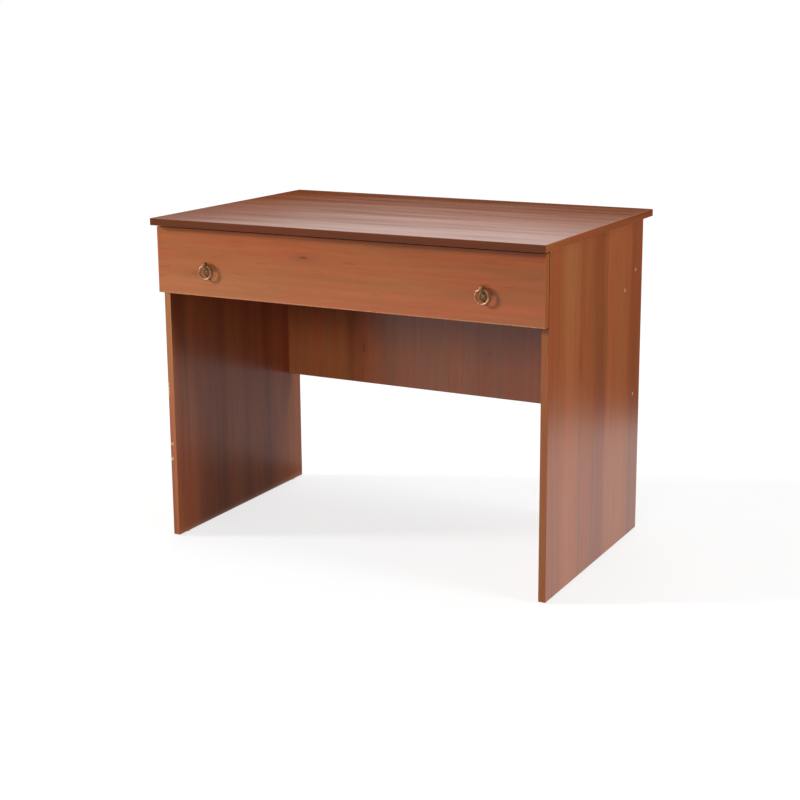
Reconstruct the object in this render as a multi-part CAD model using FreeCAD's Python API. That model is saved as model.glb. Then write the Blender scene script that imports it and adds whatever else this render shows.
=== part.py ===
import FreeCAD, Part
import math
import os

# Writing desk with one drawer on roller slides.
# Millimetres, +Z up, +X to the sitter's right, the drawer faces -Y.
# The origin is on the floor, under the middle of the top.

# Overall sizes
DESK_HEIGHT = 750.0
TOP_WIDTH = 950.0
TOP_DEPTH = 624.0

# Board thicknesses
TOP_BOARD = 16.0
SIDE_BOARD = 16.0
MODESTY_BOARD = 16.0
STRETCHER_BOARD = 16.0
FRONT_BOARD = 16.0
BOX_BOARD = 16.0
BOTTOM_SHEET = 3.2

# Edge bands
TOP_BAND = 2.0
EDGE_BAND = 1.0
BAND_ROUND_SHARE = 0.5

# Where the panels stand under the top
SIDE_OVERHANG = 5.0
FRONT_OVERHANG = 17.0
REAR_OVERHANG = 48.5
FRONT_STANDOFF = 2.5
MODESTY_INSET = 35.0
MODESTY_HEIGHT = 446.0
STRETCHER_WIDTH = 100.0
STRETCHER_CLEARANCE = 2.8

# Floor glides
GLIDE_HEIGHT = 3.0
GLIDE_RADIUS = 7.0
GLIDE_NAIL_RADIUS = 1.0
GLIDE_NAIL_LENGTH = 14.0
GLIDE_SETBACK = 40.0

# Drawer
FRONT_HEIGHT = 149.0
FRONT_TOP_GAP = 4.0
BOX_RISE = 19.0
BOX_TOP_GAP = 24.0
REAR_CLEARANCE = 41.5
GROOVE_RISE = 14.0
GROOVE_DEPTH = 8.0
GROOVE_PLAY = 0.2
BOTTOM_EDGE_PLAY = 0.5

# Roller slides
SLIDE_GAP = 12.5
RUNNER_SHEET = 1.2
RUNNER_SETBACK = 2.0
CHANNEL_HEIGHT = 26.0
CHANNEL_EDGE_GAP = 2.3
FLANGE_EDGE_GAP = 2.0
FLANGE_RISE = 1.0
ROLLER_CLEARANCE = 0.3
ROLLER_FLOOR_GAP = 0.8
ROLLER_SIDE_GAP = 0.2
ROLLER_PASSING_GAP = 0.4
ROLLER_CUT_GAP = 1.5
ROLLER_INSET = 15.0
STOP_SETBACK = 77.0
STOP_DROP = 6.0
PIN_RADIUS = 3.0
PIN_RUNNING_FIT = 0.05
PIN_FLANGE_RADIUS = 5.0
PIN_COLLAR = 0.8
PIN_HEAD = 1.0
ROLLER_RIM_SHARE = 0.12

# Ring pulls
PULL_INSET = 134.0
PULL_RISE = 55.0
PULL_STANDOFF = 9.0
RING_DIAMETER = 34.0
RING_WIRE = 4.2
EYE_RADIUS = 6.5
EYE_LIFT = 2.2
EYE_WIDTH = 8.4
EYE_PLAY = 0.85
NECK_RADIUS = 3.4
NECK_FOOT_SHARE = 0.55
BASE_RADIUS = 11.5
BASE_EDGE = 1.5
BASE_CROWN = 6.2
BASE_DOME_SHARE = 0.84

# Small screws of brackets and runners
WOOD_SCREW_RADIUS = 1.75
WOOD_SCREW_LENGTH = 13.0
WOOD_SCREW_HEAD_RADIUS = 3.4
WOOD_SCREW_HEAD = 1.5

# Screws that hold the drawer front
FRONT_SCREW_RADIUS = 2.0
FRONT_SCREW_GRIP = 11.0
FRONT_SCREW_HEAD_RADIUS = 3.8
FRONT_SCREW_HEAD = 2.0

# Machine screws of the pulls
PULL_SCREW_RADIUS = 2.0
PULL_SCREW_GRIP = 4.2
PULL_SCREW_HEAD_RADIUS = 4.0
PULL_SCREW_HEAD = 2.4

# Confirmat screws
CONFIRMAT_RADIUS = 2.5
CONFIRMAT_LENGTH = 50.0
CONFIRMAT_HEAD_RADIUS = 3.8
CONFIRMAT_HEAD = 4.0
CONFIRMAT_SOCKET_RADIUS = 2.2
CONFIRMAT_SOCKET_DEPTH = 3.0

# Nails under the drawer's back
NAIL_RADIUS = 0.8
NAIL_LENGTH = 20.0
NAIL_HEAD_RADIUS = 1.8
NAIL_HEAD = 0.8

# Dowels
DOWEL_RADIUS = 4.0
DOWEL_LENGTH = 30.0
DOWEL_FACE_DEPTH = 10.0
DOWEL_RELIEF = 1.0

# Corner brackets under the top
BRACKET_LEG = 20.0
BRACKET_WIDTH = 18.0
BRACKET_SHEET = 2.0

# Radial room of every fastener in its hole, and the overrun of every cut
HOLE_FIT = 0.05
OVERRUN = 2.0

# Places along a piece, as shares of its length or height
SIDE_BRACKET_SHARES = (0.15, 0.80)
SIDE_DOWEL_SHARES = (0.30, 0.62)
MODESTY_BRACKET_SHARE = 0.5
MODESTY_CONFIRMAT_SHARES = (0.107, 0.752)
MODESTY_DOWEL_SHARES = (0.30, 0.55)
STRETCHER_CONFIRMAT_SHARE = 0.42
STRETCHER_DOWEL_SHARE = 0.75
RUNNER_SCREW_SHARES = (0.12, 0.45, 0.82)
RUNNER_SCREW_DEPTH_SHARE = 0.35
BOX_CONFIRMAT_SHARES = (0.25, 0.75)
FRONT_SCREW_PLACE_SHARES = (0.25, 0.60)
FRONT_SCREW_HEIGHT_SHARE = 0.35
NAIL_PLACE_SHARES = (0.1, 0.3, 0.5, 0.7, 0.9)

# Shapes of screw heads, as shares of the head's radius and height
HEAD_CROWN_SHARE = 0.6
HEAD_WALL_SHARE = 0.55
RECESS_REACH_SHARE = 0.58
RECESS_WIDTH_SHARE = 0.2
RECESS_DEPTH_SHARE = 0.6

# Directions
FULL_TURN = 360.0
HEXAGON = 6
X_AXIS = FreeCAD.Vector(1, 0, 0)
Y_AXIS = FreeCAD.Vector(0, 1, 0)
Z_AXIS = FreeCAD.Vector(0, 0, 1)

# Planes across the desk, from the middle to the right
OUTER_X = TOP_WIDTH / 2 - SIDE_OVERHANG
INNER_X = OUTER_X - SIDE_BOARD
BOX_OUTER_X = INNER_X - SLIDE_GAP
BOX_INNER_X = BOX_OUTER_X - BOX_BOARD
PULL_X = OUTER_X - PULL_INSET

# Planes from front to rear
TOP_FRONT_Y = -TOP_DEPTH / 2
TOP_REAR_Y = TOP_DEPTH / 2
FACE_Y = TOP_FRONT_Y + FRONT_OVERHANG
FRONT_BACK_Y = FACE_Y + FRONT_BOARD
SIDE_FRONT_Y = FRONT_BACK_Y + FRONT_STANDOFF
SIDE_REAR_Y = TOP_REAR_Y - REAR_OVERHANG
MODESTY_REAR_Y = SIDE_REAR_Y - MODESTY_INSET
MODESTY_FRONT_Y = MODESTY_REAR_Y - MODESTY_BOARD
MODESTY_MID_Y = MODESTY_REAR_Y - MODESTY_BOARD / 2
STRETCHER_FRONT_Y = MODESTY_FRONT_Y - STRETCHER_WIDTH
BOX_REAR_Y = MODESTY_FRONT_Y - REAR_CLEARANCE
SLIDE_LENGTH = BOX_REAR_Y - FRONT_BACK_Y
INNER_FRONT_Y = FRONT_BACK_Y + BOX_BOARD
BACK_FRONT_Y = BOX_REAR_Y - BOX_BOARD
RUNNER_FRONT_Y = SIDE_FRONT_Y + RUNNER_SETBACK
RING_Y = FACE_Y - PULL_STANDOFF

# Levels above the floor
UNDERSIDE_Z = DESK_HEIGHT - TOP_BOARD
MODESTY_LOW_Z = UNDERSIDE_Z - MODESTY_HEIGHT
FRONT_TOP_Z = UNDERSIDE_Z - FRONT_TOP_GAP
FRONT_LOW_Z = FRONT_TOP_Z - FRONT_HEIGHT
BOX_LOW_Z = FRONT_LOW_Z + BOX_RISE
BOX_TOP_Z = UNDERSIDE_Z - BOX_TOP_GAP
GROOVE_LOW_Z = BOX_LOW_Z + GROOVE_RISE
GROOVE_TOP_Z = GROOVE_LOW_Z + BOTTOM_SHEET + GROOVE_PLAY
STRETCHER_TOP_Z = BOX_LOW_Z - RUNNER_SHEET - WOOD_SCREW_HEAD - STRETCHER_CLEARANCE
STRETCHER_LOW_Z = STRETCHER_TOP_Z - STRETCHER_BOARD
STRETCHER_MID_Z = STRETCHER_TOP_Z - STRETCHER_BOARD / 2
PULL_Z = FRONT_LOW_Z + PULL_RISE

# Ring of a pull, to the middle of its wire
RING_RADIUS = (RING_DIAMETER - RING_WIRE) / 2

# Roller slide: channel, rollers and the flange that rides on the front roller
CHANNEL_LOW_Z = BOX_LOW_Z
CHANNEL_TOP_Z = CHANNEL_LOW_Z + CHANNEL_HEIGHT
CHANNEL_MID_Z = CHANNEL_LOW_Z + CHANNEL_HEIGHT / 2
CHANNEL_DEPTH = SLIDE_GAP - RUNNER_SHEET - CHANNEL_EDGE_GAP
TRACK_LOW_Z = CHANNEL_LOW_Z + RUNNER_SHEET
TRACK_TOP_Z = CHANNEL_TOP_Z - RUNNER_SHEET
DRAWER_ROLLER_RADIUS = (TRACK_TOP_Z - TRACK_LOW_Z) / 2 - ROLLER_CLEARANCE
CABINET_ROLLER_LOW_Z = TRACK_LOW_Z + ROLLER_FLOOR_GAP
CABINET_ROLLER_TOP_Z = CHANNEL_TOP_Z + FLANGE_RISE
CABINET_ROLLER_RADIUS = (CABINET_ROLLER_TOP_Z - CABINET_ROLLER_LOW_Z) / 2
CABINET_ROLLER_Z = (CABINET_ROLLER_TOP_Z + CABINET_ROLLER_LOW_Z) / 2
CABINET_ROLLER_Y = RUNNER_FRONT_Y + ROLLER_INSET
DRAWER_ROLLER_Y = BOX_REAR_Y - ROLLER_INSET
FLANGE_LOW_Z = CABINET_ROLLER_TOP_Z + ROLLER_CLEARANCE
FLANGE_TOP_Z = FLANGE_LOW_Z + RUNNER_SHEET
PIN_ENDS = PIN_COLLAR + PIN_HEAD + 2 * ROLLER_SIDE_GAP
ROLLER_ROOM = SLIDE_GAP - 2 * RUNNER_SHEET - WOOD_SCREW_HEAD - ROLLER_PASSING_GAP
ROLLER_WIDTH = ROLLER_ROOM - PIN_ENDS


def block(x_span, y_span, z_span):
    """Box between two limits on each axis."""
    size = [high - low for low, high in (x_span, y_span, z_span)]
    corner = FreeCAD.Vector(x_span[0], y_span[0], z_span[0])
    return Part.makeBox(*size, corner)


def turned(outline):
    """Solid of revolution about Z from (radius, height) points."""
    points = [FreeCAD.Vector(radius, 0, height) for radius, height in outline]
    wire = Part.makePolygon(points + points[:1])
    return Part.Face(wire).revolve(FreeCAD.Vector(), Z_AXIS, FULL_TURN)


def placed(shape, place, axis):
    """Copy of a shape made along +Z at the origin, moved to a place and turned to an axis."""
    copy = shape.copy()
    copy.Placement = FreeCAD.Placement(FreeCAD.Vector(*place), FreeCAD.Rotation(Z_AXIS, axis))
    return copy


def placed_all(shape, seats):
    return [placed(shape, place, axis) for place, axis in seats]


def mirrored(shape):
    """The same piece on the other side of the desk."""
    return shape.mirror(FreeCAD.Vector(), X_AXIS)


def both_sides(seats):
    """Seats on the right half, and their mirror images on the left."""
    mirror_seats = []
    for (x, y, z), axis in seats:
        mirror_seats.append(((-x, y, z), FreeCAD.Vector(-axis.x, axis.y, axis.z)))
    return seats + mirror_seats


def drilled(board, holes):
    return board.cut(holes).Solids[0]


def share_of(low, high, share):
    return low + (high - low) * share


def rounded(band, axis, reach):
    """Band with the outer pair of its long edges rounded; reach is the outward direction."""
    outer = max(vertex.Point.dot(reach) for vertex in band.Vertexes)
    edges = []
    for edge in band.Edges:
        start, end = [vertex.Point for vertex in edge.Vertexes]
        lies_along = math.isclose(abs((end - start).dot(axis)), edge.Length)
        if lies_along and math.isclose(start.dot(reach), outer):
            edges.append(edge)
    walls = sorted((band.BoundBox.XLength, band.BoundBox.YLength, band.BoundBox.ZLength))
    return band.makeFillet(walls[0] * BAND_ROUND_SHARE, edges)


def save(node, solids):
    shape = solids[0] if len(solids) == 1 else Part.makeCompound(solids)
    shape.exportStep(f"parts/{node}.step")


# Fasteners, made along +Z with the seat of the head at the origin


def pan_screw(radius, length, head_radius, head):
    """Round-headed screw with a cross recess."""
    shell = turned([
        (0, -length),
        (radius, -length + radius),
        (radius, 0),
        (head_radius, 0),
        (head_radius, head * HEAD_WALL_SHARE),
        (head_radius * HEAD_CROWN_SHARE, head),
        (0, head),
    ])
    reach = head_radius * RECESS_REACH_SHARE
    half = head_radius * RECESS_WIDTH_SHARE / 2
    floor = head * (1 - RECESS_DEPTH_SHARE)
    roof = head + OVERRUN
    slots = [
        block((-reach, reach), (-half, half), (floor, roof)),
        block((-half, half), (-reach, reach), (floor, roof)),
    ]
    return shell.cut(slots).Solids[0]


def pilot(radius, length):
    """Hole for a screw's shank, open above the seat."""
    bottom = FreeCAD.Vector(0, 0, -length - HOLE_FIT)
    return Part.makeCylinder(radius + HOLE_FIT, OVERRUN - bottom.z, bottom)


def confirmat():
    """Flush screw with a countersunk head and a hexagon socket."""
    shell = turned([
        (0, -CONFIRMAT_LENGTH),
        (CONFIRMAT_RADIUS, -CONFIRMAT_LENGTH + CONFIRMAT_RADIUS),
        (CONFIRMAT_RADIUS, -CONFIRMAT_HEAD),
        (CONFIRMAT_HEAD_RADIUS, 0),
        (0, 0),
    ])
    corners = []
    for step in range(HEXAGON + 1):
        turn = 2 * math.pi * step / HEXAGON
        x = CONFIRMAT_SOCKET_RADIUS * math.cos(turn)
        y = CONFIRMAT_SOCKET_RADIUS * math.sin(turn)
        corners.append(FreeCAD.Vector(x, y, -CONFIRMAT_SOCKET_DEPTH))
    socket = Part.Face(Part.makePolygon(corners)).extrude(Z_AXIS * (CONFIRMAT_SOCKET_DEPTH + OVERRUN))
    return shell.cut(socket).Solids[0]


def confirmat_hole():
    return turned([
        (0, -CONFIRMAT_LENGTH - HOLE_FIT),
        (CONFIRMAT_RADIUS + HOLE_FIT, -CONFIRMAT_LENGTH - HOLE_FIT),
        (CONFIRMAT_RADIUS + HOLE_FIT, -CONFIRMAT_HEAD),
        (CONFIRMAT_HEAD_RADIUS + HOLE_FIT, 0),
        (CONFIRMAT_HEAD_RADIUS + HOLE_FIT, OVERRUN),
        (0, OVERRUN),
    ])


def dowel():
    """Dowel whose lower end stands DOWEL_FACE_DEPTH deep in the face at the origin."""
    return Part.makeCylinder(DOWEL_RADIUS, DOWEL_LENGTH, FreeCAD.Vector(0, 0, -DOWEL_FACE_DEPTH))


def dowel_hole():
    length = DOWEL_LENGTH + DOWEL_RELIEF
    return Part.makeCylinder(DOWEL_RADIUS + HOLE_FIT, length, FreeCAD.Vector(0, 0, -DOWEL_FACE_DEPTH))


WOOD_SCREW = pan_screw(WOOD_SCREW_RADIUS, WOOD_SCREW_LENGTH, WOOD_SCREW_HEAD_RADIUS, WOOD_SCREW_HEAD)
WOOD_PILOT = pilot(WOOD_SCREW_RADIUS, WOOD_SCREW_LENGTH)
FRONT_SCREW_LENGTH = BOX_BOARD + FRONT_SCREW_GRIP
FRONT_SCREW = pan_screw(FRONT_SCREW_RADIUS, FRONT_SCREW_LENGTH, FRONT_SCREW_HEAD_RADIUS, FRONT_SCREW_HEAD)
FRONT_PILOT = pilot(FRONT_SCREW_RADIUS, FRONT_SCREW_LENGTH)
PULL_SCREW_LENGTH = BOX_BOARD + FRONT_BOARD + PULL_SCREW_GRIP
PULL_SCREW = pan_screw(PULL_SCREW_RADIUS, PULL_SCREW_LENGTH, PULL_SCREW_HEAD_RADIUS, PULL_SCREW_HEAD)
PULL_PILOT = pilot(PULL_SCREW_RADIUS, PULL_SCREW_LENGTH)
NAIL = pan_screw(NAIL_RADIUS, NAIL_LENGTH, NAIL_HEAD_RADIUS, NAIL_HEAD)
NAIL_PILOT = pilot(NAIL_RADIUS, NAIL_LENGTH)
CONFIRMAT = confirmat()
CONFIRMAT_HOLE = confirmat_hole()
DOWEL = dowel()
DOWEL_HOLE = dowel_hole()


# Seats of the fasteners: a place and the direction that the head faces


def carcass_confirmat_seats():
    seats = []
    for share in MODESTY_CONFIRMAT_SHARES:
        level = share_of(MODESTY_LOW_Z, UNDERSIDE_Z, share)
        seats.append(((OUTER_X, MODESTY_MID_Y, level), X_AXIS))
    depth = share_of(STRETCHER_FRONT_Y, MODESTY_FRONT_Y, STRETCHER_CONFIRMAT_SHARE)
    seats.append(((OUTER_X, depth, STRETCHER_MID_Z), X_AXIS))
    return both_sides(seats)


def end_dowel_seats():
    """Dowels from the side panels' inner faces into the modesty panel and the stretcher."""
    seats = []
    for share in MODESTY_DOWEL_SHARES:
        level = share_of(MODESTY_LOW_Z, UNDERSIDE_Z, share)
        seats.append(((INNER_X, MODESTY_MID_Y, level), -X_AXIS))
    depth = share_of(STRETCHER_FRONT_Y, MODESTY_FRONT_Y, STRETCHER_DOWEL_SHARE)
    seats.append(((INNER_X, depth, STRETCHER_MID_Z), -X_AXIS))
    return both_sides(seats)


def top_dowel_seats():
    """Dowels from the top's underside into the side panels' upper ends."""
    seats = []
    for share in SIDE_DOWEL_SHARES:
        depth = share_of(SIDE_FRONT_Y, SIDE_REAR_Y, share)
        seats.append(((INNER_X + SIDE_BOARD / 2, depth, UNDERSIDE_Z), -Z_AXIS))
    return both_sides(seats)


def bracket_corners():
    """Inner corner of each bracket, and the direction in which its flat leg reaches."""
    corners = []
    for share in SIDE_BRACKET_SHARES:
        depth = share_of(SIDE_FRONT_Y, SIDE_REAR_Y, share)
        corners.append(((INNER_X, depth, UNDERSIDE_Z), -X_AXIS))
    corners.append(((INNER_X * MODESTY_BRACKET_SHARE, MODESTY_FRONT_Y, UNDERSIDE_Z), -Y_AXIS))
    return both_sides(corners)


def bracket_screw_seats():
    seats = []
    for place, reach in bracket_corners():
        corner = FreeCAD.Vector(*place)
        flat = corner + reach * (BRACKET_LEG / 2) - Z_AXIS * BRACKET_SHEET
        upright = corner + reach * BRACKET_SHEET - Z_AXIS * (BRACKET_LEG / 2)
        seats.append((tuple(flat), -Z_AXIS))
        seats.append((tuple(upright), reach))
    return seats


def cabinet_runner_screw_seats():
    seats = []
    for share in RUNNER_SCREW_SHARES:
        depth = RUNNER_FRONT_Y + SLIDE_LENGTH * share
        seats.append(((INNER_X - RUNNER_SHEET, depth, CHANNEL_MID_Z), -X_AXIS))
    return both_sides(seats)


def drawer_runner_screw_seats():
    seats = []
    across = BOX_OUTER_X - BOX_BOARD * RUNNER_SCREW_DEPTH_SHARE
    for share in RUNNER_SCREW_SHARES:
        depth = FRONT_BACK_Y + SLIDE_LENGTH * share
        seats.append(((across, depth, BOX_LOW_Z - RUNNER_SHEET), -Z_AXIS))
    return both_sides(seats)


def box_confirmat_seats():
    seats = []
    for share in BOX_CONFIRMAT_SHARES:
        level = share_of(FLANGE_TOP_Z, BOX_TOP_Z, share)
        for depth in (FRONT_BACK_Y + BOX_BOARD / 2, BOX_REAR_Y - BOX_BOARD / 2):
            seats.append(((BOX_OUTER_X, depth, level), X_AXIS))
    return both_sides(seats)


def front_screw_seats():
    level = share_of(BOX_LOW_Z, BOX_TOP_Z, FRONT_SCREW_HEIGHT_SHARE)
    seats = [((BOX_INNER_X * share, INNER_FRONT_Y, level), Y_AXIS) for share in FRONT_SCREW_PLACE_SHARES]
    return both_sides(seats)


def pull_screw_seats():
    return both_sides([((PULL_X, INNER_FRONT_Y, PULL_Z), Y_AXIS)])


def nail_seats():
    depth = BOX_REAR_Y - BOX_BOARD / 2
    seats = []
    for share in NAIL_PLACE_SHARES:
        across = share_of(-BOX_INNER_X, BOX_INNER_X, share)
        seats.append(((across, depth, GROOVE_LOW_Z), -Z_AXIS))
    return seats


def glide_seats():
    across = INNER_X + SIDE_BOARD / 2
    depths = (SIDE_FRONT_Y + GLIDE_SETBACK, SIDE_REAR_Y - GLIDE_SETBACK)
    return both_sides([((across, depth, GLIDE_HEIGHT), -Z_AXIS) for depth in depths])


# Desk frame


def build_top():
    half = TOP_WIDTH / 2
    core_x = (TOP_BAND - half, half - TOP_BAND)
    core_y = (TOP_FRONT_Y + TOP_BAND, TOP_REAR_Y - TOP_BAND)
    levels = (UNDERSIDE_Z, DESK_HEIGHT)
    holes = placed_all(WOOD_PILOT, bracket_screw_seats()) + placed_all(DOWEL_HOLE, top_dowel_seats())
    save("top_panel", [drilled(block(core_x, core_y, levels), holes)])
    front = block((-half, half), (TOP_FRONT_Y, core_y[0]), levels)
    rear = block((-half, half), (core_y[1], TOP_REAR_Y), levels)
    right = block((core_x[1], half), core_y, levels)
    save("top_front_band", [rounded(front, X_AXIS, -Y_AXIS)])
    save("top_rear_band", [rounded(rear, X_AXIS, Y_AXIS)])
    end_band = rounded(right, Y_AXIS, X_AXIS)
    save("top_right_band", [end_band])
    save("top_left_band", [mirrored(end_band)])


def build_sides():
    walls = (INNER_X, OUTER_X)
    levels = (GLIDE_HEIGHT, UNDERSIDE_Z)
    core_y = (SIDE_FRONT_Y + EDGE_BAND, SIDE_REAR_Y - EDGE_BAND)
    holes = placed_all(CONFIRMAT_HOLE, carcass_confirmat_seats())
    holes += placed_all(DOWEL_HOLE, end_dowel_seats() + top_dowel_seats())
    holes += placed_all(WOOD_PILOT, bracket_screw_seats() + cabinet_runner_screw_seats())
    holes += placed_all(pilot(GLIDE_NAIL_RADIUS, GLIDE_NAIL_LENGTH), glide_seats())
    panel = drilled(block(walls, core_y, levels), holes)
    front = rounded(block(walls, (SIDE_FRONT_Y, core_y[0]), levels), Z_AXIS, -Y_AXIS)
    rear = rounded(block(walls, (core_y[1], SIDE_REAR_Y), levels), Z_AXIS, Y_AXIS)
    for piece, name in ((panel, "side_panel"), (front, "side_front_band"), (rear, "side_rear_band")):
        save(f"right_{name}", [piece])
        save(f"left_{name}", [mirrored(piece)])


def build_modesty_panel():
    width = (-INNER_X, INNER_X)
    depth = (MODESTY_FRONT_Y, MODESTY_REAR_Y)
    core_low = MODESTY_LOW_Z + EDGE_BAND
    holes = placed_all(CONFIRMAT_HOLE, carcass_confirmat_seats())
    holes += placed_all(DOWEL_HOLE, end_dowel_seats())
    holes += placed_all(WOOD_PILOT, bracket_screw_seats())
    save("modesty_panel", [drilled(block(width, depth, (core_low, UNDERSIDE_Z)), holes)])
    band = block(width, depth, (MODESTY_LOW_Z, core_low))
    save("modesty_lower_band", [rounded(band, X_AXIS, -Z_AXIS)])


def build_stretcher():
    width = (-INNER_X, INNER_X)
    core_front = STRETCHER_FRONT_Y + EDGE_BAND
    levels = (STRETCHER_LOW_Z, STRETCHER_TOP_Z)
    holes = placed_all(CONFIRMAT_HOLE, carcass_confirmat_seats()) + placed_all(DOWEL_HOLE, end_dowel_seats())
    save("rear_stretcher", [drilled(block(width, (core_front, MODESTY_FRONT_Y), levels), holes)])
    band = block(width, (STRETCHER_FRONT_Y, core_front), levels)
    save("stretcher_front_band", [rounded(band, X_AXIS, -Y_AXIS)])


def bracket(place, reach):
    """Angle bracket in the corner at a place: a flat leg along reach, an upright leg down."""
    across = reach.cross(Z_AXIS) * (BRACKET_WIDTH / 2)
    corner = FreeCAD.Vector(*place)
    outline = [
        corner,
        corner + reach * BRACKET_LEG,
        corner + reach * BRACKET_LEG - Z_AXIS * BRACKET_SHEET,
        corner + reach * BRACKET_SHEET - Z_AXIS * BRACKET_SHEET,
        corner + reach * BRACKET_SHEET - Z_AXIS * BRACKET_LEG,
        corner - Z_AXIS * BRACKET_LEG,
        corner,
    ]
    face = Part.Face(Part.makePolygon([point - across for point in outline]))
    return face.extrude(across * 2)


def build_brackets():
    seats = bracket_screw_seats()
    holes = placed_all(WOOD_PILOT, seats)
    save("corner_brackets", [drilled(bracket(place, reach), holes) for place, reach in bracket_corners()])
    save("bracket_screws", placed_all(WOOD_SCREW, seats))


def build_carcass_fasteners():
    save("carcass_confirmats", placed_all(CONFIRMAT, carcass_confirmat_seats()))
    save("carcass_dowels", placed_all(DOWEL, end_dowel_seats() + top_dowel_seats()))


def build_glides():
    glide = turned([
        (0, -GLIDE_NAIL_LENGTH),
        (GLIDE_NAIL_RADIUS, -GLIDE_NAIL_LENGTH + GLIDE_NAIL_RADIUS),
        (GLIDE_NAIL_RADIUS, 0),
        (GLIDE_RADIUS, 0),
        (GLIDE_RADIUS, GLIDE_HEIGHT * HEAD_WALL_SHARE),
        (GLIDE_RADIUS - GLIDE_HEIGHT * (1 - HEAD_WALL_SHARE), GLIDE_HEIGHT),
        (0, GLIDE_HEIGHT),
    ])
    save("floor_glides", placed_all(glide, glide_seats()))


# Roller slides


def roller_pin(shank, wall):
    """Rivet along +Z from the outer face of a runner's wall: shank, collar and head round a roller."""
    head_start = wall + PIN_COLLAR + shank
    return turned([
        (0, 0),
        (PIN_RADIUS, 0),
        (PIN_RADIUS, wall),
        (PIN_FLANGE_RADIUS, wall),
        (PIN_FLANGE_RADIUS, wall + PIN_COLLAR),
        (PIN_RADIUS, wall + PIN_COLLAR),
        (PIN_RADIUS, head_start),
        (PIN_FLANGE_RADIUS, head_start),
        (PIN_FLANGE_RADIUS, head_start + PIN_HEAD),
        (0, head_start + PIN_HEAD),
    ])


def roller(radius):
    """Nylon roller with softened rims, along +Z from its first face."""
    bore = PIN_RADIUS + PIN_RUNNING_FIT
    rim = ROLLER_WIDTH * ROLLER_RIM_SHARE
    return turned([
        (bore, 0),
        (radius - rim, 0),
        (radius, rim),
        (radius, ROLLER_WIDTH - rim),
        (radius - rim, ROLLER_WIDTH),
        (bore, ROLLER_WIDTH),
    ])


def cabinet_runner():
    """Channel on the right side panel, open towards the drawer, cut away over the front roller."""
    length = (RUNNER_FRONT_Y, RUNNER_FRONT_Y + SLIDE_LENGTH)
    lip_front = CABINET_ROLLER_Y + CABINET_ROLLER_RADIUS + ROLLER_CUT_GAP
    reach = (INNER_X - CHANNEL_DEPTH, INNER_X)
    stop_front = RUNNER_FRONT_Y + STOP_SETBACK
    web = block((INNER_X - RUNNER_SHEET, INNER_X), length, (CHANNEL_LOW_Z, CHANNEL_TOP_Z))
    floor = block(reach, length, (CHANNEL_LOW_Z, TRACK_LOW_Z))
    lip = block(reach, (lip_front, length[1]), (TRACK_TOP_Z, CHANNEL_TOP_Z))
    stop = block(reach, (stop_front, stop_front + RUNNER_SHEET), (TRACK_TOP_Z - STOP_DROP, TRACK_TOP_Z))
    holes = placed_all(WOOD_PILOT, cabinet_runner_screw_seats())
    pin_hole = Part.makeCylinder(PIN_RADIUS + HOLE_FIT, RUNNER_SHEET + OVERRUN)
    holes.append(placed(pin_hole, (INNER_X, CABINET_ROLLER_Y, CABINET_ROLLER_Z), -X_AXIS))
    return drilled(web.fuse([floor, lip, stop]).removeSplitter(), holes)


def drawer_runner():
    """Folded strip on the drawer's right side: a foot under it, a wall, and a flange over the channel."""
    length = (FRONT_BACK_Y, BOX_REAR_Y)
    wall_x = (BOX_OUTER_X, BOX_OUTER_X + RUNNER_SHEET)
    foot_low = BOX_LOW_Z - RUNNER_SHEET
    foot = block((BOX_INNER_X, wall_x[1]), length, (foot_low, BOX_LOW_Z))
    wall = block(wall_x, length, (foot_low, FLANGE_TOP_Z))
    flange = block((BOX_OUTER_X, INNER_X - FLANGE_EDGE_GAP), length, (FLANGE_LOW_Z, FLANGE_TOP_Z))
    holes = placed_all(WOOD_PILOT, drawer_runner_screw_seats())
    pin_hole = Part.makeCylinder(PIN_RADIUS + HOLE_FIT, RUNNER_SHEET + OVERRUN)
    holes.append(placed(pin_hole, (BOX_OUTER_X, DRAWER_ROLLER_Y, CHANNEL_MID_Z), X_AXIS))
    return drilled(wall.fuse([foot, flange]).removeSplitter(), holes)


def build_slides():
    pin = roller_pin(ROLLER_WIDTH + 2 * ROLLER_SIDE_GAP, RUNNER_SHEET)
    roller_start = RUNNER_SHEET + PIN_COLLAR + ROLLER_SIDE_GAP
    cabinet_axis = (CABINET_ROLLER_Y, CABINET_ROLLER_Z)
    drawer_axis = (DRAWER_ROLLER_Y, CHANNEL_MID_Z)
    cabinet_pin = placed(pin, (INNER_X, *cabinet_axis), -X_AXIS)
    drawer_pin = placed(pin, (BOX_OUTER_X, *drawer_axis), X_AXIS)
    cabinet_roller = placed(roller(CABINET_ROLLER_RADIUS), (INNER_X - roller_start, *cabinet_axis), -X_AXIS)
    drawer_roller = placed(roller(DRAWER_ROLLER_RADIUS), (BOX_OUTER_X + roller_start, *drawer_axis), X_AXIS)
    pieces = {
        "cabinet_runner": cabinet_runner(),
        "drawer_runner": drawer_runner(),
        "cabinet_roller": cabinet_roller,
        "drawer_roller": drawer_roller,
    }
    for name, piece in pieces.items():
        save(f"right_{name}", [piece])
        save(f"left_{name}", [mirrored(piece)])
    save("cabinet_roller_pins", [cabinet_pin, mirrored(cabinet_pin)])
    save("drawer_roller_pins", [drawer_pin, mirrored(drawer_pin)])
    save("cabinet_runner_screws", placed_all(WOOD_SCREW, cabinet_runner_screw_seats()))
    save("drawer_runner_screws", placed_all(WOOD_SCREW, drawer_runner_screw_seats()))


# Drawer


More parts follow.
